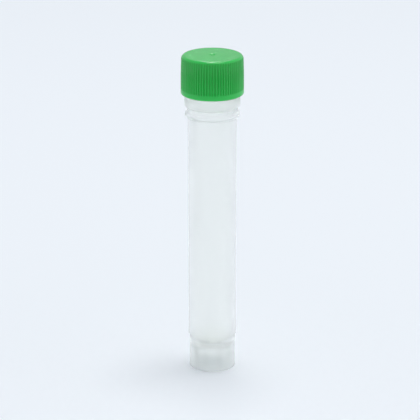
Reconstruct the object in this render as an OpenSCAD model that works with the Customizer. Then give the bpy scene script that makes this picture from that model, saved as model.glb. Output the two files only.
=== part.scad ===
// Self-standing sample vial with an external thread, a ribbed screw cap and a silicone sealing ring.
// Each piece is drawn closed, where it stands in use: +Z is the axis, and z = 0 is the table.
// The tube and the cap are single mouldings, and the ring is caught loosely inside the cap.

/* [Tube] */
// Height of the tube from the table to its mouth
tube_h = 85.9; // [60:0.1:110]
// Inner diameter of the tube
bore_d = 10.6; // [9:0.1:13]
// Wall of the straight body
body_wall = 1.2; // [1:0.05:1.6]
// Wall of the neck under its thread
neck_wall = 0.8; // [0.7:0.05:1]
// Thickness of the round bottom
floor_t = 1.5; // [1:0.1:2]
// Rounding of the mouth's outer edge
mouth_round = 0.25; // [0.1:0.05:0.35]
// Bevel on the mouth's inner edge
mouth_bevel = 0.12; // [0.05:0.01:0.2]

/* [Rings below the cap] */
// How far the stop collar reaches out past the cap's bore
collar_lap = 0.45; // [0.3:0.05:0.8]
// Height of the stop collar's outer face
collar_h = 2.7; // [1.5:0.1:4]
// Height of the groove's floor between collar and bead
groove_h = 1.0; // [0.2:0.1:2]
// Depth of that groove below the bead
groove_depth = 0.45; // [0.2:0.05:0.6]
// Height of each slope down into the groove
groove_slope_h = 0.6; // [0.3:0.05:1.5]
// How far the bead stands out from the body
bead_out = 0.8; // [0.75:0.05:1.2]
// Height of the bead's outer face
bead_h = 0.8; // [0.6:0.1:2]
// How far the body's shoulder stands out under the bead
shoulder_out = 0.1; // [0.05:0.05:0.4]
// Height over which the shoulder fades into the straight body
shoulder_h = 5.8; // [2:0.1:10]
// Rounding of the two rings' edges
ring_round = 0.2; // [0.05:0.05:0.3]

/* [Foot] */
// Height at which the body steps in to the foot
step_z = 9.3; // [8.8:0.1:14]
// How far the foot steps in from the body
step_in = 0.3; // [0.1:0.05:0.5]
// Wall of the foot
foot_wall = 1.0; // [0.8:0.05:1.3]
// Height of the round bottom's rim, where its curve begins
bottom_z = 7.4; // [7:0.1:8.5]
// Drop of the round bottom from its rim to its lowest point
bottom_drop = 2.1; // [1.5:0.1:3]
// Rounding of the rim that the vial stands on
rim_round = 0.2; // [0.1:0.05:0.35]
// Number of ribs that make the star inside the foot
star_ribs = 8; // [4:1:12]
// How far each star rib stands in from the foot's wall
star_rib_in = 1.0; // [0.4:0.1:1.8]
// Thickness of a star rib
star_rib_t = 0.7; // [0.5:0.1:1]
// Gap between the star ribs and the table
star_rib_lift = 0.6; // [0.3:0.1:2]
// Diameter of the gate mark under the round bottom
gate_d = 1.6; // [1:0.1:3]
// Height of that gate mark
gate_h = 0.3; // [0.1:0.05:0.5]

/* [Thread] */
// Rise of the thread in one turn
pitch = 3.0; // [2.8:0.1:3.6]
// Length of each thread, in turns
thread_turns = 1.75; // [1:0.25:1.75]
// Height of the ridge on the neck and in the cap
thread_depth = 0.7; // [0.4:0.05:0.8]
// Width of a ridge at its root
thread_root_w = 1.5; // [1:0.05:1.6]
// Width of a ridge at its crest
thread_crest_w = 0.7; // [0.4:0.05:0.9]
// Space between one thread's crest and the other's root
thread_gap = 0.2; // [0.1:0.05:0.3]
// Space between the flanks that take the load
flank_gap = 0.15; // [0.05:0.05:0.3]
// Angle over which a thread's end fades out
run_out = 45; // [20:5:90]
// Distance from the collar, and from the cap's rim, to the lowest ridge
thread_start = 0.35; // [0.2:0.05:0.8]

/* [Cap] */
// Height of the cap
cap_h = 10.6; // [10:0.1:14]
// Thickness of the cap's top
cap_top_t = 1.2; // [0.9:0.1:2]
// Wall of the cap under its grip grooves
cap_wall = 1.1; // [0.9:0.05:1.5]
// Number of grip ribs
grip_ribs = 72; // [36:1:90]
// Depth of the grooves between the ribs
grip_depth = 0.3; // [0.15:0.05:0.4]
// Width of each groove at its floor
grip_floor_w = 0.2; // [0.1:0.05:0.3]
// Width of each groove between the ribs' crests
grip_mouth_w = 0.5; // [0.35:0.05:0.55]
// Height of the smooth band at the cap's rim
band_h = 1.4; // [0.8:0.1:3]
// How far that band flares out from the ribs
band_flare = 0.1; // [0.05:0.05:0.3]
// Rounding of the cap's top edge
top_round = 0.9; // [0.7:0.1:1.2]
// How far the cap narrows towards its top edge
top_taper = 0.15; // [0.05:0.05:0.3]
// Height over which it narrows
taper_h = 4.5; // [1:0.5:6]
// How far the top's middle is dished
top_dish = 0.1; // [0.05:0.05:0.3]
// Width of the flat ring round that dish
dish_rim = 0.7; // [0.3:0.1:1.5]
// Rounding of the cap's rim
cap_rim_round = 0.5; // [0.1:0.05:0.5]
// Space between the cap's rim and the stop collar when closed
rim_gap = 0.3; // [0.15:0.05:0.8]
// Diameter of the gate dimple in the cap's top
dimple_d = 2.0; // [1.4:0.1:3]
// Diameter of that dimple's flat floor
dimple_floor_d = 1.2; // [0.9:0.1:1.3]
// Depth of the gate dimple
dimple_depth = 0.1; // [0.05:0.05:0.4]
// Diameter of the gate's nub in the dimple
nub_d = 0.5; // [0.3:0.1:0.8]
// Height of that nub
nub_h = 0.15; // [0.05:0.05:0.3]

/* [Sealing ring] */
// Thickness of the sealing ring
seal_t = 0.9; // [0.5:0.1:1.5]
// How far the sealing ring reaches in past the tube's bore
seal_lap = 0.5; // [0.2:0.1:1]
// Radial space round the ring in the cap
seal_gap = 0.1; // [0.05:0.05:0.2]
// How far the cap's bead reaches in under the ring
catch_in = 0.3; // [0.2:0.05:0.4]
// Height of that bead
catch_h = 0.4; // [0.3:0.05:0.6]
// Wall of the lip that centres the ring
lip_t = 0.5; // [0.4:0.1:0.8]
// Height of that lip
lip_h = 0.6; // [0.3:0.05:0.8]

/* [Hidden] */

$fn = 144;
arc_steps = 5;
dome_steps = 14;
dish_steps = 4;
steps_per_turn = 48;
// How far a moulded-on ridge or rib is drawn into the wall that carries it
root = 0.15;
// How far a cut runs past the face it opens
past = 1;
// Least height and width of a thread's fading end, as shares of the full ridge
end_height = 0.05;
end_width = 0.4;

// Radii of the tube, from the bore outwards
bore_r = bore_d / 2;
body_r = bore_r + body_wall;
neck_r = bore_r + neck_wall;
foot_r = body_r - step_in;
recess_r = foot_r - foot_wall;

// Radii of the cap, from the neck outwards
neck_crest_r = neck_r + thread_depth;
cap_bore_r = neck_crest_r + thread_gap;
cap_crest_r = cap_bore_r - thread_depth;
groove_floor_r = cap_bore_r + cap_wall;
cap_r = groove_floor_r + grip_depth;

// Radii of the two rings below the cap
collar_r = cap_bore_r + collar_lap;
bead_r = body_r + bead_out;
groove_r = bead_r - groove_depth;
shoulder_r = body_r + shoulder_out;

// Heights of the closed cap and its seal, from the tube's mouth
ceiling_z = tube_h + seal_t;
cap_top_z = ceiling_z + cap_top_t;
cap_rim_z = cap_top_z - cap_h;
dish_z = cap_top_z - top_dish;

// Heights of the two rings, from the cap's rim down
collar_top_z = cap_rim_z - rim_gap;
collar_foot_z = collar_top_z - collar_h;
groove_top_z = collar_foot_z - groove_slope_h;
groove_foot_z = groove_top_z - groove_h;
bead_top_z = groove_foot_z - groove_slope_h;
bead_foot_z = bead_top_z - bead_h;
shoulder_foot_z = bead_foot_z - shoulder_h;

// The threads have one pitch, and the cap's ridge runs just under the neck's, as when it is screwed down.
// ridge_pair_w is how far apart their middles are where their flanks touch.
flank_slope = (thread_root_w - thread_crest_w) / 2 / thread_depth;
ridge_pair_w = thread_root_w - flank_slope * (thread_depth + thread_gap);
neck_thread_z = collar_top_z + thread_start + thread_root_w / 2;
cap_thread_z = cap_rim_z + thread_start + thread_root_w / 2;
cap_thread_lag = ridge_pair_w + flank_gap;
cap_thread_turn = 360 * (cap_thread_z - neck_thread_z + cap_thread_lag) / pitch;

// A profile's corners, each given as [x, y, rounding], with every rounded corner drawn as an arc
function rounded(corners) = [
    for (i = [0:len(corners) - 1])
        let (
            last = len(corners) - 1,
            before = corners[i == 0 ? last : i - 1],
            after = corners[i == last ? 0 : i + 1],
            here = corners[i]
        )
        each here[2] > 0 ? rounded_corner(before, here, after) : [[here[0], here[1]]]
];

// The arc that touches both edges of one corner
function rounded_corner(before, here, after) =
    let (
        p = [here[0], here[1]],
        u = unit([before[0], before[1]] - p),
        v = unit([after[0], after[1]] - p),
        half = acos(u * v) / 2,
        centre = p + unit(u + v) * here[2] / sin(half),
        start = p + u * here[2] / tan(half) - centre,
        end = p + v * here[2] / tan(half) - centre,
        from = atan2(start[1], start[0]),
        swept = atan2(end[1], end[0]) - from,
        to = from + (swept > 180 ? swept - 360 : swept < -180 ? swept + 360 : swept)
    )
    arc(centre[0], centre[1], here[2], here[2], from, to, arc_steps);

function unit(v) = v / norm(v);

// Points along an arc, or along a part of an ellipse
function arc(x, y, rx, ry, from, to, steps) = [
    for (i = [0:steps])
        let (a = from + (to - from) * i / steps)
        [x + rx * cos(a), y + ry * sin(a)]
];

// Height of a thread's ridge along its length: it rises from nothing, holds, and fades out again
function ridge(angle, length) =
    let (from_end = min(angle, length - angle))
    from_end >= run_out ? 1 : max(end_height, sin(90 * from_end / run_out));

// One cross-section of a ridge, as four points round a trapezium
function ridge_section(angle, length, wall_r, crest_r) =
    let (
        out = crest_r > wall_r ? 1 : -1,
        root_r = wall_r - out * root,
        full = ridge(angle, length),
        top_r = root_r + (crest_r - root_r) * full,
        narrow = end_width + (1 - end_width) * full,
        root_half = (thread_root_w / 2 + flank_slope * root) * narrow,
        crest_half = thread_crest_w / 2 * narrow,
        z = pitch * angle / 360
    )
    [for (p = [[root_r, -root_half], [top_r, -crest_half], [top_r, crest_half], [root_r, root_half]])
        [p[0] * cos(angle), p[0] * sin(angle), z + p[1]]];

// A helical ridge that stands on a round wall, outwards or inwards
module thread(wall_r, crest_r) {
    length = 360 * thread_turns;
    steps = ceil(steps_per_turn * thread_turns);
    points = [for (i = [0:steps]) each ridge_section(length * i / steps, length, wall_r, crest_r)];
    sides = [for (i = [0:steps - 1]) for (j = [0:3])
        let (a = 4 * i + j, b = 4 * i + (j + 1) % 4)
        each [[a, b, b + 4], [a, b + 4, a + 4]]];
    last = 4 * steps;
    ends = [[0, 2, 1], [0, 3, 2], [last, last + 1, last + 2], [last, last + 2, last + 3]];
    inward = crest_r < wall_r;
    faces = [for (f = concat(sides, ends)) inward ? [f[2], f[1], f[0]] : f];
    polyhedron(points = points, faces = faces);
}

// Outside of the tube: foot, straight body, bead, groove, stop collar and neck
module tube_outside() {
    rotate_extrude()
        polygon(rounded([
            [0, 0, 0],
            [foot_r, 0, rim_round],
            [foot_r, step_z, 0],
            [body_r, step_z + step_in, 0],
            [body_r, shoulder_foot_z, 0],
            [shoulder_r, bead_foot_z, 0],
            [bead_r, bead_foot_z, ring_round],
            [bead_r, bead_top_z, ring_round],
            [groove_r, groove_foot_z, ring_round],
            [groove_r, groove_top_z, ring_round],
            [collar_r, collar_foot_z, ring_round],
            [collar_r, collar_top_z, ring_round],
            [neck_r, collar_top_z, ring_round],
            [neck_r, tube_h, mouth_round],
            [0, tube_h, 0]
        ]));
}

// Inside of the tube: a straight bore that ends in the round bottom
module tube_bore() {
    rotate_extrude()
        polygon(concat(
            arc(0, bottom_z + floor_t, bore_r, bottom_drop, -90, 0, dome_steps),
            [
                [bore_r, tube_h - mouth_bevel],
                [bore_r + mouth_bevel, tube_h],
                [bore_r + mouth_bevel, tube_h + past],
                [0, tube_h + past]
            ]
        ));
}

// Hollow of the foot, under the round bottom, with the star ribs and the gate mark left standing
module foot_recess() {
    dome_r = bore_r + floor_t;
    dome_edge = acos(recess_r / dome_r);
    difference() {
        rotate_extrude()
            polygon(concat(
                [[0, -past], [recess_r, -past]],
                arc(0, bottom_z, dome_r, bottom_drop, -dome_edge, -90, dome_steps)
            ));
        for (i = [0:star_ribs - 1])
            rotate(360 * (i + 0.5) / star_ribs)
                translate([recess_r - star_rib_in, -star_rib_t / 2, star_rib_lift])
                    cube([star_rib_in + root, star_rib_t, bottom_z]);
        translate([0, 0, bottom_z - bottom_drop - gate_h])
            cylinder(h = bottom_drop, d = gate_d);
    }
}

module vial_tube() {
    color([0.91, 0.94, 0.95])
        union() {
            difference() {
                tube_outside();
                tube_bore();
                foot_recess();
            }
            translate([0, 0, neck_thread_z])
                thread(neck_r, neck_crest_r);
        }
}

// Outside of the cap, before its grooves are cut
module cap_outside() {
    edge_r = cap_r - top_taper;
    dish_r = edge_r - top_round - dish_rim;
    rotate_extrude()
        polygon(rounded(concat(
            [
                [0, cap_rim_z, 0],
                [cap_r + band_flare, cap_rim_z, cap_rim_round],
                [cap_r, cap_rim_z + band_h, 0],
                [cap_r, cap_top_z - top_round - taper_h, 0],
                [edge_r, cap_top_z, top_round]
            ],
            [for (i = [0:dish_steps])
                let (out = 1 - i / dish_steps)
                [dish_r * out, dish_z + top_dish * out * out, 0]]
        )));
}

// Inside of the cap: bore, catch bead under the sealing ring, and the lip that centres the ring
module cap_inside() {
    catch_z = tube_h - seal_gap - catch_h / 2;
    lip_r = bore_r - seal_lap - seal_gap;
    rotate_extrude()
        polygon(concat(
            [
                [0, cap_rim_z - past],
                [cap_bore_r + cap_rim_round, cap_rim_z - past],
                [cap_bore_r + cap_rim_round, cap_rim_z],
                [cap_bore_r, cap_rim_z + cap_rim_round]
            ],
            arc(cap_bore_r, catch_z, catch_in, catch_h / 2, -90, -270, 2 * arc_steps),
            [
                [cap_bore_r, ceiling_z],
                [lip_r, ceiling_z],
                [lip_r, ceiling_z - lip_h],
                [lip_r - lip_t, ceiling_z - lip_h],
                [lip_r - lip_t, ceiling_z],
                [0, ceiling_z]
            ]
        ));
}

// The grooves between the grip ribs, which run out through the cap's top edge
module grip_grooves() {
    translate([0, 0, cap_rim_z + band_h])
        for (i = [0:grip_ribs - 1])
            rotate(i * 360 / grip_ribs)
                linear_extrude(height = cap_h)
                    polygon([
                        [groove_floor_r, -grip_floor_w / 2],
                        [cap_r, -grip_mouth_w / 2],
                        [cap_r + past, -grip_mouth_w / 2],
                        [cap_r + past, grip_mouth_w / 2],
                        [cap_r, grip_mouth_w / 2],
                        [groove_floor_r, grip_floor_w / 2]
                    ]);
}

// The mark that the moulding gate leaves in the middle of the cap's top
module gate_dimple() {
    flank = (dimple_d - dimple_floor_d) / dimple_depth;
    translate([0, 0, dish_z - dimple_depth])
        difference() {
            cylinder(h = dimple_depth + past, d1 = dimple_floor_d, d2 = dimple_d + flank * past);
            cylinder(h = nub_h, d = nub_d);
        }
}

module screw_cap() {
    color([0.2, 0.64, 0.32])
        union() {
            difference() {
                cap_outside();
                cap_inside();
                grip_grooves();
                gate_dimple();
            }
            translate([0, 0, cap_thread_z])
                rotate(cap_thread_turn)
                    thread(cap_bore_r, cap_crest_r);
        }
}

module sealing_ring() {
    outer_r = cap_bore_r - seal_gap;
    inner_r = bore_r - seal_lap;
    color([0.93, 0.93, 0.9])
        translate([0, 0, tube_h])
            difference() {
                cylinder(h = seal_t, r = outer_r);
                translate([0, 0, -past])
                    cylinder(h = seal_t + 2 * past, r = inner_r);
            }
}

vial_tube();
screw_cap();
sealing_ring();
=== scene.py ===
"""Looks of a self-standing sample vial: frosted tube, ribbed green screw cap and silicone sealing ring."""

import math

import bpy
import numpy as np
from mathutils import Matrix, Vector


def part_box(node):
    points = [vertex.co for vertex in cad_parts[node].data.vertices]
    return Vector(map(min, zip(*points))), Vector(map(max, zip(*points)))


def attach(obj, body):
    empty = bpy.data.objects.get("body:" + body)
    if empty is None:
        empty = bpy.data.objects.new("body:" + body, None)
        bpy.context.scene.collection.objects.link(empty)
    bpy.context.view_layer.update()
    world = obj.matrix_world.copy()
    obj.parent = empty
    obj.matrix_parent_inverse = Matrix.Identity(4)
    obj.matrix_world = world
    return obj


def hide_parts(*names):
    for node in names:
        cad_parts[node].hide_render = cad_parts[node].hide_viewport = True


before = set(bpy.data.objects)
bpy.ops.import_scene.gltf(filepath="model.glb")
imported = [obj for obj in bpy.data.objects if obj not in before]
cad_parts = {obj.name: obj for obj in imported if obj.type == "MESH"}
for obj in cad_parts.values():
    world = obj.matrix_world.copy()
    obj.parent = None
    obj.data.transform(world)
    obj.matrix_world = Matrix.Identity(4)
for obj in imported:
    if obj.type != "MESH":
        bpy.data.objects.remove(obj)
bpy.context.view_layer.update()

# ---------------------------------------------------------------- tube
# The tube is one moulding in natural polypropylene: round bottom, straight body, two rings and a
# threaded neck. Below the bottom its wall runs on as a hollow foot, with ribs inside that make a star.
# It stands on the foot's rim, and the cap screws down on the neck until it nearly meets the collar.

mm = 0.001
full_turn = 2 * math.pi


def extent(node):
    """How far out, how low and how high a node of the frame reaches, in mm to a hundredth."""
    low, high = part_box(node)
    return [round(edge / mm, 2) for edge in (high[0], low[2], high[2])]


# Sizes are in mm, and the collar is the tube's widest ring.
collar_r, _, tube_top = extent("vial_tube")

# Radii, from the bore outwards
bore_r, body_wall, neck_wall, step_in, foot_wall = 5.3, 1.2, 0.8, 0.3, 1.0
body_r, neck_r = bore_r + body_wall, bore_r + neck_wall
foot_r = body_r - step_in
recess_r = foot_r - foot_wall
bead_out, groove_depth, shoulder_out = 0.8, 0.45, 0.1
bead_r, shoulder_r = body_r + bead_out, body_r + shoulder_out
groove_r = bead_r - groove_depth

# Heights of the two rings, from the cap's rim down
rim_gap, collar_h, groove_slope_h, groove_h, bead_h, shoulder_h = 0.3, 2.7, 0.6, 1.0, 0.8, 5.8
collar_top = extent("screw_cap")[1] - rim_gap
collar_foot = collar_top - collar_h
groove_top = collar_foot - groove_slope_h
groove_foot = groove_top - groove_h
bead_top = groove_foot - groove_slope_h
bead_foot = bead_top - bead_h
shoulder_foot = bead_foot - shoulder_h

# Edges of the mouth, of the two rings, and of the shoulder under them
mouth_bevel, mouth_round, ring_round, shoulder_round, shoulder_drop = 0.12, 0.25, 0.2, 0.1, 0.15

# The round bottom with its gate mark, and the foot, whose rim stands just clear of the table
foot_step, dome_rim, dome_drop, floor_wall = 9.3, 7.4, 2.1, 1.5
outer_dome_r = bore_r + floor_wall
gate_r, gate_h, gate_bevel = 0.8, 0.3, 0.08
gate_z = dome_rim - dome_drop - gate_h
rim_lift, rim_round, recess_round = 0.02, 0.2, 0.1
star_ribs, star_rib_in, star_rib_w, star_lift, star_foot_h = 8, 1.0, 0.7, 0.6, 0.05
star_r = recess_r - star_rib_in

# The thread. Its ends fade over fade_turns, down to end_width of its full width.
pitch, thread_turns, fade_turns, end_width = 3.0, 1.75, 0.125, 0.4
thread_depth, thread_root_w, thread_crest_w, thread_start = 0.7, 1.5, 0.7, 0.35
neck_thread_z = collar_top + thread_start + thread_root_w / 2

# How finely the skin is divided: its sides, the rows of its two curves, and the widest gaps between rows
tube_sides, dome_rows, underside_rows = 288, 18, 16
thread_row, foot_row, plain_row = 0.11, 0.4, 4.0
# Two radii or heights that are nearer than this count as one.
near = 0.01


def softened(corners, steps=6):
    """A profile's corners, each [out, up, rounding], with an arc in place of every rounded corner.
    The arc's centre lies on the corner's bisector, rounding / sin(half angle) away. Its points swing from
    one touching point to the other: (sin((1 - t) * sweep) * first + sin(t * sweep) * last) / sin(sweep)."""
    spot, rounding = corners[:, :2], corners[:, 2:]

    def unit(v):
        return v / np.maximum(np.linalg.norm(v, axis=1, keepdims=True), 1e-9)

    back, ahead = unit(np.roll(spot, 1, 0) - spot), unit(np.roll(spot, -1, 0) - spot)
    half = np.arccos(np.clip((back * ahead).sum(1, keepdims=True), -0.9999, 0.9999)) / 2
    centre = spot + unit(back + ahead) * rounding / np.sin(half)
    first = spot + back * rounding / np.tan(half) - centre
    last = spot + ahead * rounding / np.tan(half) - centre
    sweep = math.pi - 2 * half
    each = np.where(rounding[:, 0] > 0, steps + 1, 1)
    i = np.repeat(np.arange(len(each)), each)
    t = ((np.arange(len(i)) - np.repeat(np.cumsum(each) - each, each)) / steps)[:, None]
    turned = np.sin((1 - t) * sweep[i]) * first[i] + np.sin(t * sweep[i]) * last[i]
    return centre[i] + turned / np.sin(sweep[i])


def filled(line, gap):
    """A line with points added evenly along each straight stretch, until none is longer than gap(its middle).
    Stretches shorter than least are dropped, and being over the gap by that share adds no point."""
    least = 1e-6
    run = np.diff(line, axis=0)
    line = np.vstack([line[:-1][np.linalg.norm(run, axis=1) > least], line[-1:]])
    run = np.diff(line, axis=0)
    count = np.ceil(np.linalg.norm(run, axis=1) / gap(line[:-1] + run / 2) - least).astype(int)
    i = np.repeat(np.arange(len(count)), count)
    share = (np.arange(len(i)) - np.repeat(np.cumsum(count) - count, count)) / count[i]
    return np.vstack([line[i] + run[i] * share[:, None], line[-1:]])


def dome(out, rim_r, rim_z=dome_rim):
    """Height of a round bottom, an ellipse below its rim: rim_z - dome_drop * sqrt(1 - (out / rim_r)^2)."""
    return rim_z - dome_drop * np.sqrt(np.maximum(0, 1 - (out / rim_r) ** 2))


def eased_step(share):
    """A step from 0 to 1 with level ends: 3 * share^2 - 2 * share^3."""
    return share * share * (3 - 2 * share)


def ridge(up, angle, foot_z, start):
    """How far a thread stands out, 0 to 1, at each height and angle.
    Its middle climbs one pitch a turn: foot_z + pitch * turns. Across it is a trapezium with softened
    edges, and it swells from nothing and dies away as a quarter sine at its two ends."""
    best = np.zeros(np.broadcast(up, angle).shape)
    for whole in (0, 1):
        turns = np.mod(angle - start, full_turn) / full_turn + whole
        ends = np.clip(np.minimum(turns, thread_turns - turns) / fade_turns, 0, 1)
        full = np.sin(ends * math.pi / 2)
        root_half = thread_root_w / 2 * (end_width + (1 - end_width) * full)
        slope = root_half * (1 - thread_crest_w / thread_root_w)
        off = np.abs(up - foot_z - pitch * turns)
        best = np.maximum(best, full * eased_step(np.clip((root_half - off) / slope, 0, 1)))
    return best


def turned_skin(name, out, up, angle, closed=False):
    """A skin round the Z axis from grids of radius and height in mm, with a row for each point of the
    profile and a column for each angle: x = radius * cos(angle), y = radius * sin(angle), z = height.
    Its first and last rows close as one point each on the axis, or a closed profile's last row joins
    its first."""
    out, up, angle = np.broadcast_arrays(out, up, angle)
    grid = np.stack([out * np.cos(angle), out * np.sin(angle), up], axis=-1) * mm
    rows, columns = out.shape
    number = np.arange(rows * columns).reshape(rows, columns)
    if closed:
        points = grid.reshape(-1, 3)
        number = np.vstack([number, number[:1]])
        fans = []
    else:
        points = np.vstack([grid[:1, 0], grid[1:-1].reshape(-1, 3), grid[-1:, 0]])
        number = number[1:-1] - columns + 1
        first, last = number[0], number[-1]
        end = len(points) - 1
        fans = np.stack([first * 0, first, np.roll(first, -1)], -1).tolist()
        fans += np.stack([last, last * 0 + end, np.roll(last, -1)], -1).tolist()
    beside = np.roll(number, -1, axis=1)
    quads = np.stack([number[:-1], number[1:], beside[1:], beside[:-1]], -1).reshape(-1, 4)
    mesh = bpy.data.meshes.new(name)
    mesh.from_pydata(points, [], quads.tolist() + fans)
    mesh.shade_smooth()
    mesh.set_sharp_from_angle(angle=math.radians(50))
    made = bpy.data.objects.new(name, mesh)
    bpy.context.scene.collection.objects.link(made)
    return made


def carry(piece, label, value):
    """Stores a value at each point of an open turned skin, from a grid of its rows and columns."""
    by_point = np.concatenate([value[:1, 0], value[1:-1].ravel(), value[-1:, 0]])
    piece.data.attributes.new(label, "FLOAT", "POINT").data.foreach_set("value", by_point)


inner_out = bore_r * np.sin(np.linspace(0, math.pi / 2, dome_rows))
inner_dome = np.stack([inner_out, dome(inner_out, bore_r, dome_rim + floor_wall)], 1)
tube_line = np.array(
    [
        [bore_r, tube_top - mouth_bevel, 0],
        [bore_r + mouth_bevel, tube_top, 0],
        [neck_r, tube_top, mouth_round],
        [neck_r, collar_top, ring_round],
        [collar_r, collar_top, ring_round],
        [collar_r, collar_foot, ring_round],
        [groove_r, groove_top, ring_round],
        [groove_r, groove_foot, ring_round],
        [bead_r, bead_top, ring_round],
        [bead_r, bead_foot, ring_round],
        [shoulder_r, bead_foot, shoulder_round],
        [shoulder_r, bead_foot - shoulder_drop, 0],
        [body_r, shoulder_foot, 0],
        [body_r, foot_step + step_in, 0],
        [foot_r, foot_step, 0],
        [foot_r, rim_lift, rim_round],
        [recess_r, rim_lift, recess_round],
        [recess_r, star_lift, 0],
        [recess_r, star_lift + star_foot_h, 0],
    ]
)
underside_out = np.linspace(recess_r, gate_r, underside_rows)
underside = np.stack([underside_out, dome(underside_out, outer_dome_r)], 1)
gate = np.array([[gate_r, gate_z + gate_bevel], [gate_r - gate_bevel, gate_z], [0, gate_z]])


def tube_gap(p):
    """How close the tube's rows lie: finely in the thread, less so on the foot, and coarsely elsewhere."""
    in_thread = (p[:, 1] > collar_top) & (p[:, 0] > neck_r - mouth_round)
    on_foot = (p[:, 1] < foot_step) & (p[:, 0] > recess_r - near)
    return np.where(in_thread, thread_row, np.where(on_foot, foot_row, plain_row))


tube_rows = filled(np.vstack([inner_dome, softened(tube_line), underside, gate]), tube_gap)
tube_out, tube_up = tube_rows[:, :1], tube_rows[:, 1:]
tube_angle = np.linspace(0, full_turn, tube_sides, endpoint=False)[None]
threaded = (tube_up > collar_top) & (np.abs(tube_out - neck_r) < 2 * near)
neck_out = tube_out + threaded * thread_depth * ridge(tube_up, tube_angle, neck_thread_z, 0)

# In line with a star rib the recess is a narrower one: its wall stands at star_r, and the dome starts there.
row = np.arange(len(tube_out))[:, None]
below_collar = row > np.argmax(tube_out[:, 0] >= collar_r - near)
wall_top, rib_top = dome(recess_r, outer_dome_r), dome(star_r, outer_dome_r)
wall = below_collar & (np.abs(tube_out - recess_r) < near) & (tube_up > star_lift + near)
roof = below_collar & (tube_out < recess_r - near) & (tube_out > gate_r + near) & (tube_up < wall_top)
roof_out = gate_r + (tube_out - gate_r) * (star_r - gate_r) / (recess_r - gate_r)
rib_out = np.where(wall, star_r, np.where(roof, roof_out, tube_out))
climb = (tube_up - star_lift) * (rib_top - star_lift) / (wall_top - star_lift) + star_lift
rib_up = np.where(wall, climb, np.where(roof, dome(rib_out, outer_dome_r), tube_up))
rib_step = full_turn / star_ribs
from_rib = np.abs(np.mod(tube_angle / rib_step, 1) - 0.5) * rib_step
at_rib = (from_rib < star_rib_w / 2 / star_r).astype(float)
tube = turned_skin(
    "frosted_tube",
    neck_out + (rib_out - tube_out) * at_rib,
    tube_up + (rib_up - tube_up) * at_rib,
    tube_angle,
)


def band(up, low, high, soft):
    """1 between two heights and 0 outside them, with soft ends inside: the lower of two ramps."""
    return np.clip(np.minimum(up - low, high - up) / soft, 0, 1)


# The skin carries two values at its rows. "veil" is how much milkier it looks, most in the collar, where more
# plastic lies behind the skin. "shade" is painted shade: it darkens the colour towards a grey, most under the
# bead and inside the skirt, where shade falls, and a little on the foot's solid band and under the bottom.
outer_face = tube_out > foot_r - near
bottom_inside = (row < np.argmax(tube_out[:, 0] >= bore_r)) & (tube_out > 0)
bottom_outside = below_collar & (tube_out < recess_r - near)
bead_step = band(tube_up, bead_foot - 0.03, bead_foot + 0.22, soft=0.05) * (tube_out > shoulder_r + 0.2)
foot_head = band(tube_up, dome_rim - 0.7, foot_step - 0.6, soft=0.5) * outer_face
collar_face = band(tube_up, groove_top, collar_top + 0.1, soft=0.6) * outer_face
skirt_inside = band(tube_up, 1.0, 5.5, soft=1.2) * (below_collar & (tube_out < foot_r - near))
# Which rows, with their veil and their painted shade
veil_and_painted_shade_rows = (
    (bottom_inside, 0.7, 0),
    (bottom_outside, 0.2, 0.04),
    (bead_step, 0.8, 0.6),
    (foot_head, 0.45, 0.12),
    (collar_face, 1.0, 0),
    (skirt_inside, 0.3, 0.33),
)
for label, column in (("veil", 1), ("shade", 2)):
    by_row = sum(part[column] * part[0] for part in veil_and_painted_shade_rows)
    carry(tube, label, np.broadcast_to(by_row, (len(tube_rows), tube_sides)))


def new_material(name):
    """A new procedural material, its node tree, its Principled shader and the piece's own coordinates."""
    made = bpy.data.materials.new(name)
    made.use_nodes = True
    tree = made.node_tree
    place = tree.nodes.new("ShaderNodeTexCoord")
    return made, tree, tree.nodes["Principled BSDF"], place.outputs["Object"]


def reckoned(tree, kind, operation, *values):
    """The outputs of a math node, Math or VectorMath, whose inputs are each a socket or a constant."""
    node = tree.nodes.new("ShaderNode" + kind)
    node.operation = operation
    for socket, value in zip(node.inputs, values):
        if isinstance(value, bpy.types.NodeSocket):
            tree.links.new(value, socket)
        else:
            socket.default_value = value
    return node.outputs


def noise(tree, position, size, detail):
    """Noise from 0 to 1 whose lumps are about as wide as the size, a socket in metres."""
    node = tree.nodes.new("ShaderNodeTexNoise")
    node.inputs["Detail"].default_value = detail
    tree.links.new(position, node.inputs["Vector"])
    tree.links.new(reckoned(tree, "Math", "DIVIDE", 1.0, size)["Value"], node.inputs["Scale"])
    return node.outputs["Fac"]


# Moulding texture: fine unevenness of a moulded skin, with slow streaks along the way the plastic flowed.
skin = bpy.data.node_groups.new("moulded_skin", "ShaderNodeTree")
skin.interface.new_socket("Position", in_out="INPUT", socket_type="NodeSocketVector")
for label, value in (("Grain size", 0.0004), ("Streak size", 0.006), ("Streak share", 0.5)):
    skin.interface.new_socket(label, in_out="INPUT", socket_type="NodeSocketFloat").default_value = value
for label in ("Height", "Mask"):
    skin.interface.new_socket(label, in_out="OUTPUT", socket_type="NodeSocketFloat")
given = skin.nodes.new("NodeGroupInput").outputs
result = skin.nodes.new("NodeGroupOutput").inputs
along_flow = (1, 1, 0.15)
grain = noise(skin, given["Position"], given["Grain size"], detail=3)
drawn_out = reckoned(skin, "VectorMath", "MULTIPLY", given["Position"], along_flow)["Vector"]
streak = noise(skin, drawn_out, given["Streak size"], detail=2)
slow = reckoned(skin, "Math", "MULTIPLY", streak, given["Streak share"])["Value"]
skin.links.new(reckoned(skin, "Math", "ADD", grain, slow)["Value"], result["Height"])
skin.links.new(streak, result["Mask"])


def place_skin(tree, position, grain_size, streak_size, streak_share):
    """The outputs of the moulded skin's group, placed in a material with its own values."""
    node = tree.nodes.new("ShaderNodeGroup")
    node.node_tree = skin
    tree.links.new(position, node.inputs["Position"])
    node.inputs["Grain size"].default_value = grain_size
    node.inputs["Streak size"].default_value = streak_size
    node.inputs["Streak share"].default_value = streak_share
    return node.outputs


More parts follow.
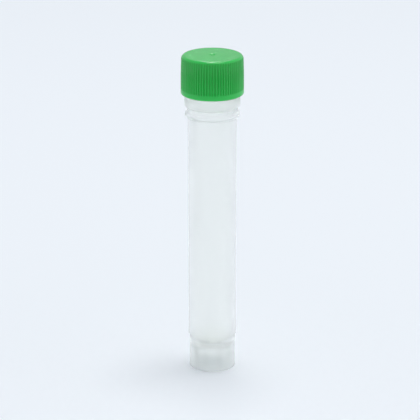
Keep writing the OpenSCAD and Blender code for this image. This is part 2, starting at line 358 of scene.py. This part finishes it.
def eased(tree, mask, low, high, start=0.3, end=0.7):
    """A number that goes from low to high as a mask goes from start to end."""
    node = tree.nodes.new("ShaderNodeMapRange")
    node.inputs["From Min"].default_value = start
    node.inputs["From Max"].default_value = end
    node.inputs["To Min"].default_value = low
    node.inputs["To Max"].default_value = high
    tree.links.new(mask, node.inputs["Value"])
    return node.outputs["Result"]


def blended(tree, mask, first, second):
    """A colour from the first to the second, each a colour or a socket, as a mask goes from 0 to 1."""
    node = tree.nodes.new("ShaderNodeMix")
    node.data_type = "RGBA"
    for label, colour in (("A", first), ("B", second)):
        if isinstance(colour, tuple):
            node.inputs[label].default_value = (*colour, 1)
        else:
            tree.links.new(colour, node.inputs[label])
    tree.links.new(mask, node.inputs["Factor"])
    return node.outputs["Result"]


def carried(tree, label):
    """The value that a piece's mesh carries under this name."""
    node = tree.nodes.new("ShaderNodeAttribute")
    node.attribute_name = label
    return node.outputs["Fac"]


# milk and bright_milk are the plastic's own streaky tones; the grey is the colour of the painted shade.
milk, bright_milk, painted_shade_grey = (0.97, 0.993, 0.95), (0.985, 1.0, 0.965), (0.35, 0.42, 0.42)
plain_wall_alpha = 0.32
natural_pp, tree, shader, position = new_material("natural_polypropylene")
frost = place_skin(tree, position, grain_size=0.0007, streak_size=0.005, streak_share=1.2)
lit = blended(tree, frost["Mask"], milk, bright_milk)
# Painted shade: the milky colour darkens towards the grey wherever the rows carry shade.
tree.links.new(blended(tree, carried(tree, "shade"), lit, painted_shade_grey), shader.inputs["Base Color"])
veiled = eased(tree, carried(tree, "veil"), low=plain_wall_alpha, high=1.0, start=0.0, end=1.0)
tree.links.new(veiled, shader.inputs["Alpha"])
tree.links.new(eased(tree, frost["Mask"], low=0.36, high=0.44), shader.inputs["Roughness"])
shader.inputs["IOR"].default_value = 1.3
shader.inputs["Transmission Weight"].default_value = 0.75
tube.data.materials.append(natural_pp)
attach(tube, "vial")
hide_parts("vial_tube")

# ---------------------------------------------------------------- sealing ring
# A flat ring cut from off-white silicone sheet lies in the cap's ceiling, centred by a moulded lip.
# The tube's mouth presses into it when the cap is tight, and a small bead in the cap keeps it in.

seal_r, seal_foot, seal_head = extent("sealing_ring")
seal_lap, seal_edge, seal_row, seal_sides = 0.5, 0.12, 0.4, 144
seal_hole_r = bore_r - seal_lap
seal_line = np.array(
    [
        [seal_hole_r, seal_head, seal_edge],
        [seal_r, seal_head, seal_edge],
        [seal_r, seal_foot, seal_edge],
        [seal_hole_r, seal_foot, seal_edge],
    ]
)
seal_rows = filled(softened(seal_line, steps=4), lambda p: np.full(len(p), seal_row))
seal_angle = np.linspace(0, full_turn, seal_sides, endpoint=False)[None]
seal = turned_skin("silicone_ring", seal_rows[:, :1], seal_rows[:, 1:], seal_angle, closed=True)


def rippled(tree, shader, height, strength):
    """Ripples a shader's surface by a height in twentieths of a millimetre."""
    node = tree.nodes.new("ShaderNodeBump")
    node.inputs["Strength"].default_value = strength
    node.inputs["Distance"].default_value = 0.00005
    tree.links.new(height, node.inputs["Height"])
    tree.links.new(node.outputs["Normal"], shader.inputs["Normal"])


cream, pale_cream = (0.84, 0.82, 0.76), (0.89, 0.87, 0.82)
silicone, tree, shader, position = new_material("off_white_silicone")
cut = place_skin(tree, position, grain_size=0.0003, streak_size=0.003, streak_share=0.3)
tree.links.new(blended(tree, cut["Mask"], cream, pale_cream), shader.inputs["Base Color"])
rippled(tree, shader, cut["Height"], strength=0.2)
shader.inputs["Roughness"].default_value = 0.55
seal.data.materials.append(silicone)
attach(seal, "seal")
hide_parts("sealing_ring")

# ---------------------------------------------------------------- cap
# The cap is one moulding in green polypropylene. Seventy-two fine grooves run up its side from a smooth
# band at the rim and out through the rounded top edge, and the gate leaves a nub in a moat in the middle of
# the top. Inside are the thread, the bead that catches the sealing ring, and the lip that centres it.

_, cap_rim, cap_top = extent("screw_cap")

# Radii, from the neck's thread outwards
thread_gap, cap_wall, grip_depth, band_flare, top_taper = 0.2, 1.1, 0.3, 0.1, 0.15
cap_bore_r = neck_r + thread_depth + thread_gap
groove_floor_r = cap_bore_r + cap_wall
cap_r = groove_floor_r + grip_depth
band_r, edge_r = cap_r + band_flare, cap_r - top_taper

# The grip: how many ribs, and the shares of half a rib and groove that the groove's floor and flank take
grip_ribs, floor_share, flank_share = 72, 0.25, 0.45

# The side's heights, from the cap's two ends, and its roundings. The grooves fade out over groove_end_h.
band_h, groove_end_h, fine_h, taper_h, top_round, cap_rim_round = 1.4, 0.25, 0.4, 4.5, 0.9, 0.5
band_top = cap_rim + band_h

# The top, from the gate's nub and its moat to the edge
nub_r, nub_fall, nub_round = 0.4, 0.03, 0.15
moat_in_r, moat_out_r, moat_drop, moat_in_round, moat_round = 0.45, 0.65, 0.15, 0.02, 0.1
moat_edge_r, moat_edge_drop = 0.85, 0.01
crown, crown_start_r, flat_rim = 0.07, 1.4, 0.7
crown_r = edge_r - top_round - flat_rim

# Inside: the thread, the bevel at the mouth, the bead that catches the ring, and the lip that centres it.
# The thread is turned so that its ridge runs just under the neck's.
cap_thread_z = cap_rim + thread_start + thread_root_w / 2
cap_thread_turn = math.radians(172.32)
ceiling, cap_mouth_bevel = seal_head, 0.5
catch_in, catch_h, catch_drop, catch_round = 0.3, 0.4, 0.3, 0.1
catch_z = seal_foot - catch_drop
lip_gap, lip_t, lip_h, lip_round = 0.1, 0.5, 0.6, 0.1
lip_r = seal_hole_r - lip_gap

# How finely the skin is divided: its sides, the top's rows, and the widest gaps between rows
sides_per_rib, crown_rows = 8, 9
cap_thread_row, groove_end_row, cap_plain_row = 0.13, 0.12, 1.2

gate_line = np.array(
    [
        [0, cap_top, 0],
        [nub_r, cap_top - nub_fall, nub_round],
        [moat_in_r, cap_top - moat_drop, moat_in_round],
        [moat_out_r, cap_top - moat_drop, moat_round],
        [moat_edge_r, cap_top - moat_edge_drop, moat_round],
    ]
)
# The top is a hair crowned inside its edge: it falls by crown * (out / crown_r)^2.
top_out = np.linspace(crown_start_r, crown_r, crown_rows)
top_line = np.stack([top_out, cap_top - crown * (top_out / crown_r) ** 2, top_out * 0], 1)
side_line = np.array(
    [
        [edge_r, cap_top, top_round],
        [cap_r, cap_top - top_round - taper_h, 0],
        [cap_r, band_top + fine_h, 0],
        [cap_r, band_top, 0],
        [band_r, cap_rim, cap_rim_round],
        [cap_bore_r + cap_mouth_bevel, cap_rim, 0],
        [cap_bore_r, cap_rim + cap_mouth_bevel, 0],
        [cap_bore_r, catch_z - catch_h / 2, 0],
        [cap_bore_r - catch_in, catch_z, catch_round],
        [cap_bore_r, catch_z + catch_h / 2, 0],
        [cap_bore_r, ceiling, 0],
        [lip_r, ceiling, 0],
        [lip_r, ceiling - lip_h, lip_round],
        [lip_r - lip_t, ceiling - lip_h, lip_round],
        [lip_r - lip_t, ceiling, 0],
        [0, ceiling, 0],
    ]
)


def cap_gap(p):
    """How close the cap's rows lie: finely in the thread and where the grooves end, coarsely elsewhere."""
    in_thread = (np.abs(p[:, 0] - cap_bore_r) < near) & (p[:, 1] < catch_z - catch_h / 2)
    at_groove_end = (np.abs(p[:, 0] - cap_r) < near) & (p[:, 1] > band_top) & (p[:, 1] < band_top + fine_h)
    return np.where(in_thread, cap_thread_row, np.where(at_groove_end, groove_end_row, cap_plain_row))


cap_rows = filled(softened(np.vstack([gate_line, top_line, side_line])), cap_gap)
cap_out, cap_up = cap_rows[:, :1], cap_rows[:, 1:]
cap_angle = np.linspace(0, full_turn, sides_per_rib * grip_ribs, endpoint=False)[None]
# Across one rib and groove, 0 in the groove's middle and 1 in the rib's
across = np.abs(np.mod(cap_angle * grip_ribs / full_turn + 0.5, 1) - 0.5) * 2
crest = eased_step(np.clip((across - floor_share) / flank_share, 0, 1))
filled_up = np.maximum(crest, np.clip((band_top + groove_end_h - cap_up) / groove_end_h, 0, 1))
ribbed = groove_floor_r + (cap_out - groove_floor_r) * filled_up
grooved = np.where(cap_out > groove_floor_r, ribbed, cap_out)
in_bore = (np.abs(cap_out - cap_bore_r) < 2 * near) & (cap_up < catch_z)
cap_skin = grooved - in_bore * thread_depth * ridge(cap_up, cap_angle, cap_thread_z, cap_thread_turn)
cap = turned_skin("screw_cap_green", cap_skin, cap_up, cap_angle)

# The cap's skin carries painted light and shade for its colour: painted shade in the corner under the top's
# edge and in the grooves, painted light on the top, and the most painted light towards the rim.
corner_painted_level, rim_painted_light, top_painted_light, groove_painted_shade = 0.62, 0.5, 0.32, 0.3
corner_foot, corner_head, corner_soft, least_depth = 84.5, 87.3, 0.6, 0.1
to_rim = np.clip((corner_foot - cap_up) / (corner_foot - cap_rim), 0, 1)
on_top = np.clip((cap_up - corner_head) / corner_soft, 0, 1)
in_groove = (1 - filled_up) * (cap_out > groove_floor_r + least_depth)
carry(cap, "painted_light_and_shade", corner_painted_level + rim_painted_light * to_rim + top_painted_light * on_top - groove_painted_shade * in_groove)

# deep_green and mid_green are the plastic's own streaky tones; lit_green is the green of the painted light.
deep_green, mid_green, lit_green = (0.004, 0.315, 0.026), (0.007, 0.355, 0.031), (0.015, 0.53, 0.075)
green_pp, tree, shader, position = new_material("green_polypropylene")
moulded = place_skin(tree, position, grain_size=0.0003, streak_size=0.004, streak_share=1.0)
streaked_green = blended(tree, moulded["Mask"], deep_green, mid_green)
# Painted light and shade: the colour runs from the streaky green to the lit green as the rows carry more
# light.
green = blended(tree, carried(tree, "painted_light_and_shade"), streaked_green, lit_green)
tree.links.new(green, shader.inputs["Base Color"])
tree.links.new(eased(tree, moulded["Mask"], low=0.13, high=0.17), shader.inputs["Roughness"])
rippled(tree, shader, moulded["Height"], strength=0.1)
shader.inputs["IOR"].default_value = 1.44
shader.inputs["Coat Weight"].default_value = 0.25
shader.inputs["Coat Roughness"].default_value = 0.04
cap.data.materials.append(green_pp)
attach(cap, "closure")
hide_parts("screw_cap")

# ---------------------------------------------------------------- carried-over solids
# The frame's three solids are hidden, because the pieces above stand for them.
# Each gets the finish of its piece all the same.

for node, finish in (("vial_tube", natural_pp), ("sealing_ring", silicone), ("screw_cap", green_pp)):
    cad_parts[node].data.materials.clear()
    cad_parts[node].data.materials.append(finish)

# ---------------------------------------------------------------- table and light
# The vial stands on a seamless pale table in a light tent, whose pale bluish walls are brightest at the
# sides. One big soft lamp hangs above, a little behind and to the right, and a small narrow one high up
# behind puts the glint on the cap's front edge.

reach = 3.0
table_corners = [(-reach, -reach, 0), (reach, -reach, 0), (reach, reach, 0), (-reach, reach, 0)]
floor_mesh = bpy.data.meshes.new("pale_table")
floor_mesh.from_pydata(table_corners, [], [(0, 1, 2, 3)])
floor = bpy.data.objects.new("pale_table", floor_mesh)
bpy.context.scene.collection.objects.link(floor)
paper, _, shader, _ = new_material("pale_table_paper")
shader.inputs["Base Color"].default_value = (0.87, 0.90, 0.94, 1)
shader.inputs["Roughness"].default_value = 0.9
shader.inputs["Specular IOR Level"].default_value = 0.1
floor.data.materials.append(paper)

# In a direction (x, y, z) the tent's light is even + rightward * x + sideways * x^2 - overhead * z^2.
even, rightward, sideways, overhead = 0.602, 0.1, 0.5, 0.1
world = bpy.data.worlds.new("light_tent")
bpy.context.scene.world = world
world.use_nodes = True
sky = world.node_tree
ray = sky.nodes.new("ShaderNodeTexCoord").outputs["Generated"]
split_ray = sky.nodes.new("ShaderNodeSeparateXYZ")
sky.links.new(ray, split_ray.inputs[0])
squares = reckoned(sky, "VectorMath", "MULTIPLY", ray, ray)["Vector"]
bent = reckoned(sky, "VectorMath", "DOT_PRODUCT", squares, (sideways, 0, -overhead))["Value"]
slanted = reckoned(sky, "Math", "MULTIPLY_ADD", split_ray.outputs["X"], rightward, even)["Value"]
backdrop = sky.nodes["Background"]
backdrop.inputs["Color"].default_value = (0.92, 0.96, 1.0, 1)
sky.links.new(reckoned(sky, "Math", "ADD", slanted, bent)["Value"], backdrop.inputs["Strength"])


def area_lamp(name, place, aim, size, energy, colour=(1, 1, 1), spread=math.pi):
    """A rectangular lamp, size = (width, height), at a place and facing its aim."""
    data = bpy.data.lights.new(name, "AREA")
    data.shape = "RECTANGLE"
    data.size, data.size_y = size
    data.energy = energy
    data.color = colour
    data.spread = spread
    lamp = bpy.data.objects.new(name, data)
    bpy.context.scene.collection.objects.link(lamp)
    lamp.location = place
    lamp.rotation_euler = (Vector(aim) - lamp.location).to_track_quat("-Z", "Y").to_euler()


area_lamp(
    "soft_lamp",
    place=(0.09, 0.18, 1.36),
    aim=(0, 0, 0.04),
    size=(0.6, 0.4),
    energy=6.8,
    colour=(1.0, 0.99, 0.98),
)
area_lamp(
    "rear_strip",
    place=(0, 0.6, 0.46),
    aim=(0, 0, 0.088),
    size=(0.055, 0.03),
    energy=0.0028,
    spread=math.radians(16),
)

# ---------------------------------------------------------------- camera
# A long lens looks down on the vial from a little above, and from far enough away that its sides stay
# nearly upright. It aims at the middle of the vial.

camera_data = bpy.data.cameras.new("camera")
camera_data.sensor_width = 36
camera_data.lens = 204.86
camera_data.clip_start = 0.01
camera = bpy.data.objects.new("camera", camera_data)
bpy.context.scene.collection.objects.link(camera)
elevation, distance = math.radians(18.6), 0.645
aim = Vector((-0.00062, 0, 0.0447))
camera.location = aim + Vector((0, -math.cos(elevation), math.sin(elevation))) * distance
camera.rotation_euler = (math.pi / 2 - elevation, 0, 0)
bpy.context.scene.camera = camera
bpy.context.scene.view_settings.view_transform = "Standard"
